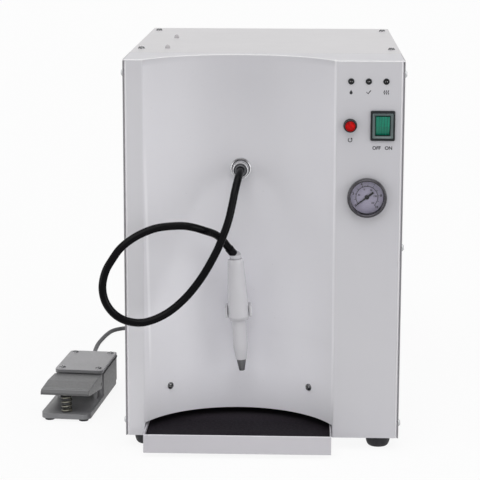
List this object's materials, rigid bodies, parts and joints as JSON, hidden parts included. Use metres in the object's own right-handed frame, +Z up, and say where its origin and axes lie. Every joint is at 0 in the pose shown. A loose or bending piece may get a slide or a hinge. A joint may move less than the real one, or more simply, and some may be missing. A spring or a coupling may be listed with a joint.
{
  "type": "dental steam cleaner",
  "caption": "Bench steam cleaner with a curved work bay, hose-fed handpiece, pull-out drip tray, gauge, switch, push button and a foot pedal on a cable.",
  "frame": {"origin": "on the floor, in the middle of the ground that the cabinet and its foot pedal cover together", "axes": "+X to the operator's right when facing the work bay, +Y from the work bay to the rear panel, +Z up"},
  "size_m": [0.4107, 0.5858, 0.4314],
  "materials": {
    "panel_paint": "semi-gloss stoved paint, light grey",
    "top_paint": "semi-gloss stoved paint, pale grey",
    "tray_paint": "semi-gloss stoved paint on folded steel",
    "zinc_plate": "zinc-plated sheet",
    "foot_rubber": "matt moulded rubber",
    "screw_dark": "blackened steel",
    "screw_bright": "zinc-plated steel",
    "mat_black": "matt black mat",
    "chrome_fitting": "polished chrome plate",
    "hose_black": "smooth black hose cover",
    "ferrule_dark": "dark moulded plastic",
    "grip_white": "satin moulded plastic",
    "nozzle_steel": "heat-darkened steel",
    "clip_grey": "satin plastic",
    "gauge_black": "satin black",
    "dial_face": "printed scale on a lilac-grey face",
    "needle_black": "matt black",
    "clear_glass": "clear flat glass",
    "bezel_black": "satin black",
    "lamp_lens": "tinted clear plastic, unlit",
    "button_red": "glossy red",
    "rocker_green": "translucent green",
    "boiler_steel": "welded stainless sheet",
    "brass_body": "turned brass",
    "coil_black": "moulded coil",
    "switch_grey": "moulded housing",
    "copper_tube": "bare copper tube",
    "pump_grey": "painted casting",
    "board_green": "solder-masked board",
    "pedal_cast": "grey hammer paint on a casting",
    "pedal_lid": "light grey paint",
    "spring_steel": "zinc-plated wire",
    "pin_steel": "ground steel",
    "cable_grey": "grey cable sheath"
  },
  "bodies": {
    "cabinet": {"front_panel": "panel_paint", "left_side_panel": "panel_paint", "right_side_panel": "panel_paint", "top_cover": "top_paint", "rear_panel": "panel_paint", "base_plate": "zinc_plate", "feet": "foot_rubber", "top_screws": "screw_dark", "side_screws": "screw_bright", "bay_screws": "screw_dark", "rear_screws": "screw_bright", "bulkhead_fitting": "chrome_fitting", "bulkhead_nut": "chrome_fitting", "hose_nut": "chrome_fitting", "steam_hose": "hose_black", "hose_ferrule": "ferrule_dark", "hand_clip": "clip_grey", "gauge_case": "gauge_black", "gauge_dial": "dial_face", "gauge_glass": "clear_glass", "lamp_bezels": "bezel_black", "lamp_lenses": "lamp_lens", "button_bezel": "bezel_black", "switch_bezel": "bezel_black", "boiler_shell": "boiler_steel", "boiler_stand": "zinc_plate", "heater": "boiler_steel", "solenoid_body": "brass_body", "solenoid_coil": "coil_black", "safety_valve": "brass_body", "pressure_switch": "switch_grey", "steam_pipe": "copper_tube", "gauge_pipe": "copper_tube", "feed_pump": "pump_grey", "feed_pipe": "copper_tube", "control_board": "board_green", "mains_inlet": "coil_black", "water_inlet": "brass_body", "cable_gland": "coil_black", "pedal_base": "pedal_cast", "pedal_cover": "pedal_lid", "pedal_cover_screws": "screw_dark", "pedal_pin": "pin_steel", "pedal_spring": "spring_steel", "pedal_microswitch": "coil_black", "pedal_pads": "foot_rubber", "pedal_gland": "coil_black", "pedal_cable": "cable_grey", "cable_coil": "cable_grey", "cable_tail": "cable_grey"},
    "tray": {"drip_tray": "tray_paint", "tray_mat": "mat_black"},
    "rocker": {"power_rocker": "rocker_green"},
    "button": {"reheat_button": "button_red"},
    "needle": {"gauge_needle": "needle_black"},
    "pedal": {"pedal_plate": "pedal_cast"},
    "handpiece": {"hand_grip": "grip_white", "hand_sleeve": "grip_white", "hand_nozzle": "nozzle_steel"}
  },
  "joints": [
    {"name": "tray_slide", "type": "slide", "parent": "cabinet", "child": "tray", "axis": [0, -1, 0], "range_m": [0, 0.11]},
    {"name": "rocker_tip", "type": "hinge", "parent": "cabinet", "child": "rocker", "pos_m": [0.18023, -0.2024, 0.36], "axis": [-1, 0, 0], "range_deg": [0, 20]},
    {"name": "button_press", "type": "slide", "parent": "cabinet", "child": "button", "axis": [0, 1, 0], "range_m": [0, 0.003], "stiffness_N_per_m": 300, "springref_m": -0.002},
    {"name": "needle_turn", "type": "hinge", "parent": "cabinet", "child": "needle", "pos_m": [0.16473, -0.2012, 0.2825], "axis": [0, 1, 0], "range_deg": [0, 264], "stiffness_Nm_per_rad": 0.0005, "springref_deg": -17.19},
    {"name": "pedal_press", "type": "hinge", "parent": "cabinet", "child": "pedal", "pos_m": [-0.17006, -0.04072, 0.0265], "axis": [0.9954, -0.0958, 0], "range_deg": [0, 10], "stiffness_Nm_per_rad": 1.5, "springref_deg": -8.59, "deforming": ["pedal_spring"]},
    {"name": "handpiece_swing", "type": "hinge", "parent": "cabinet", "child": "handpiece", "pos_m": [0.02223, -0.1644, 0.209], "axis": [-0.9982, 0, -0.0593], "range_deg": [0, 25]}
  ]
}
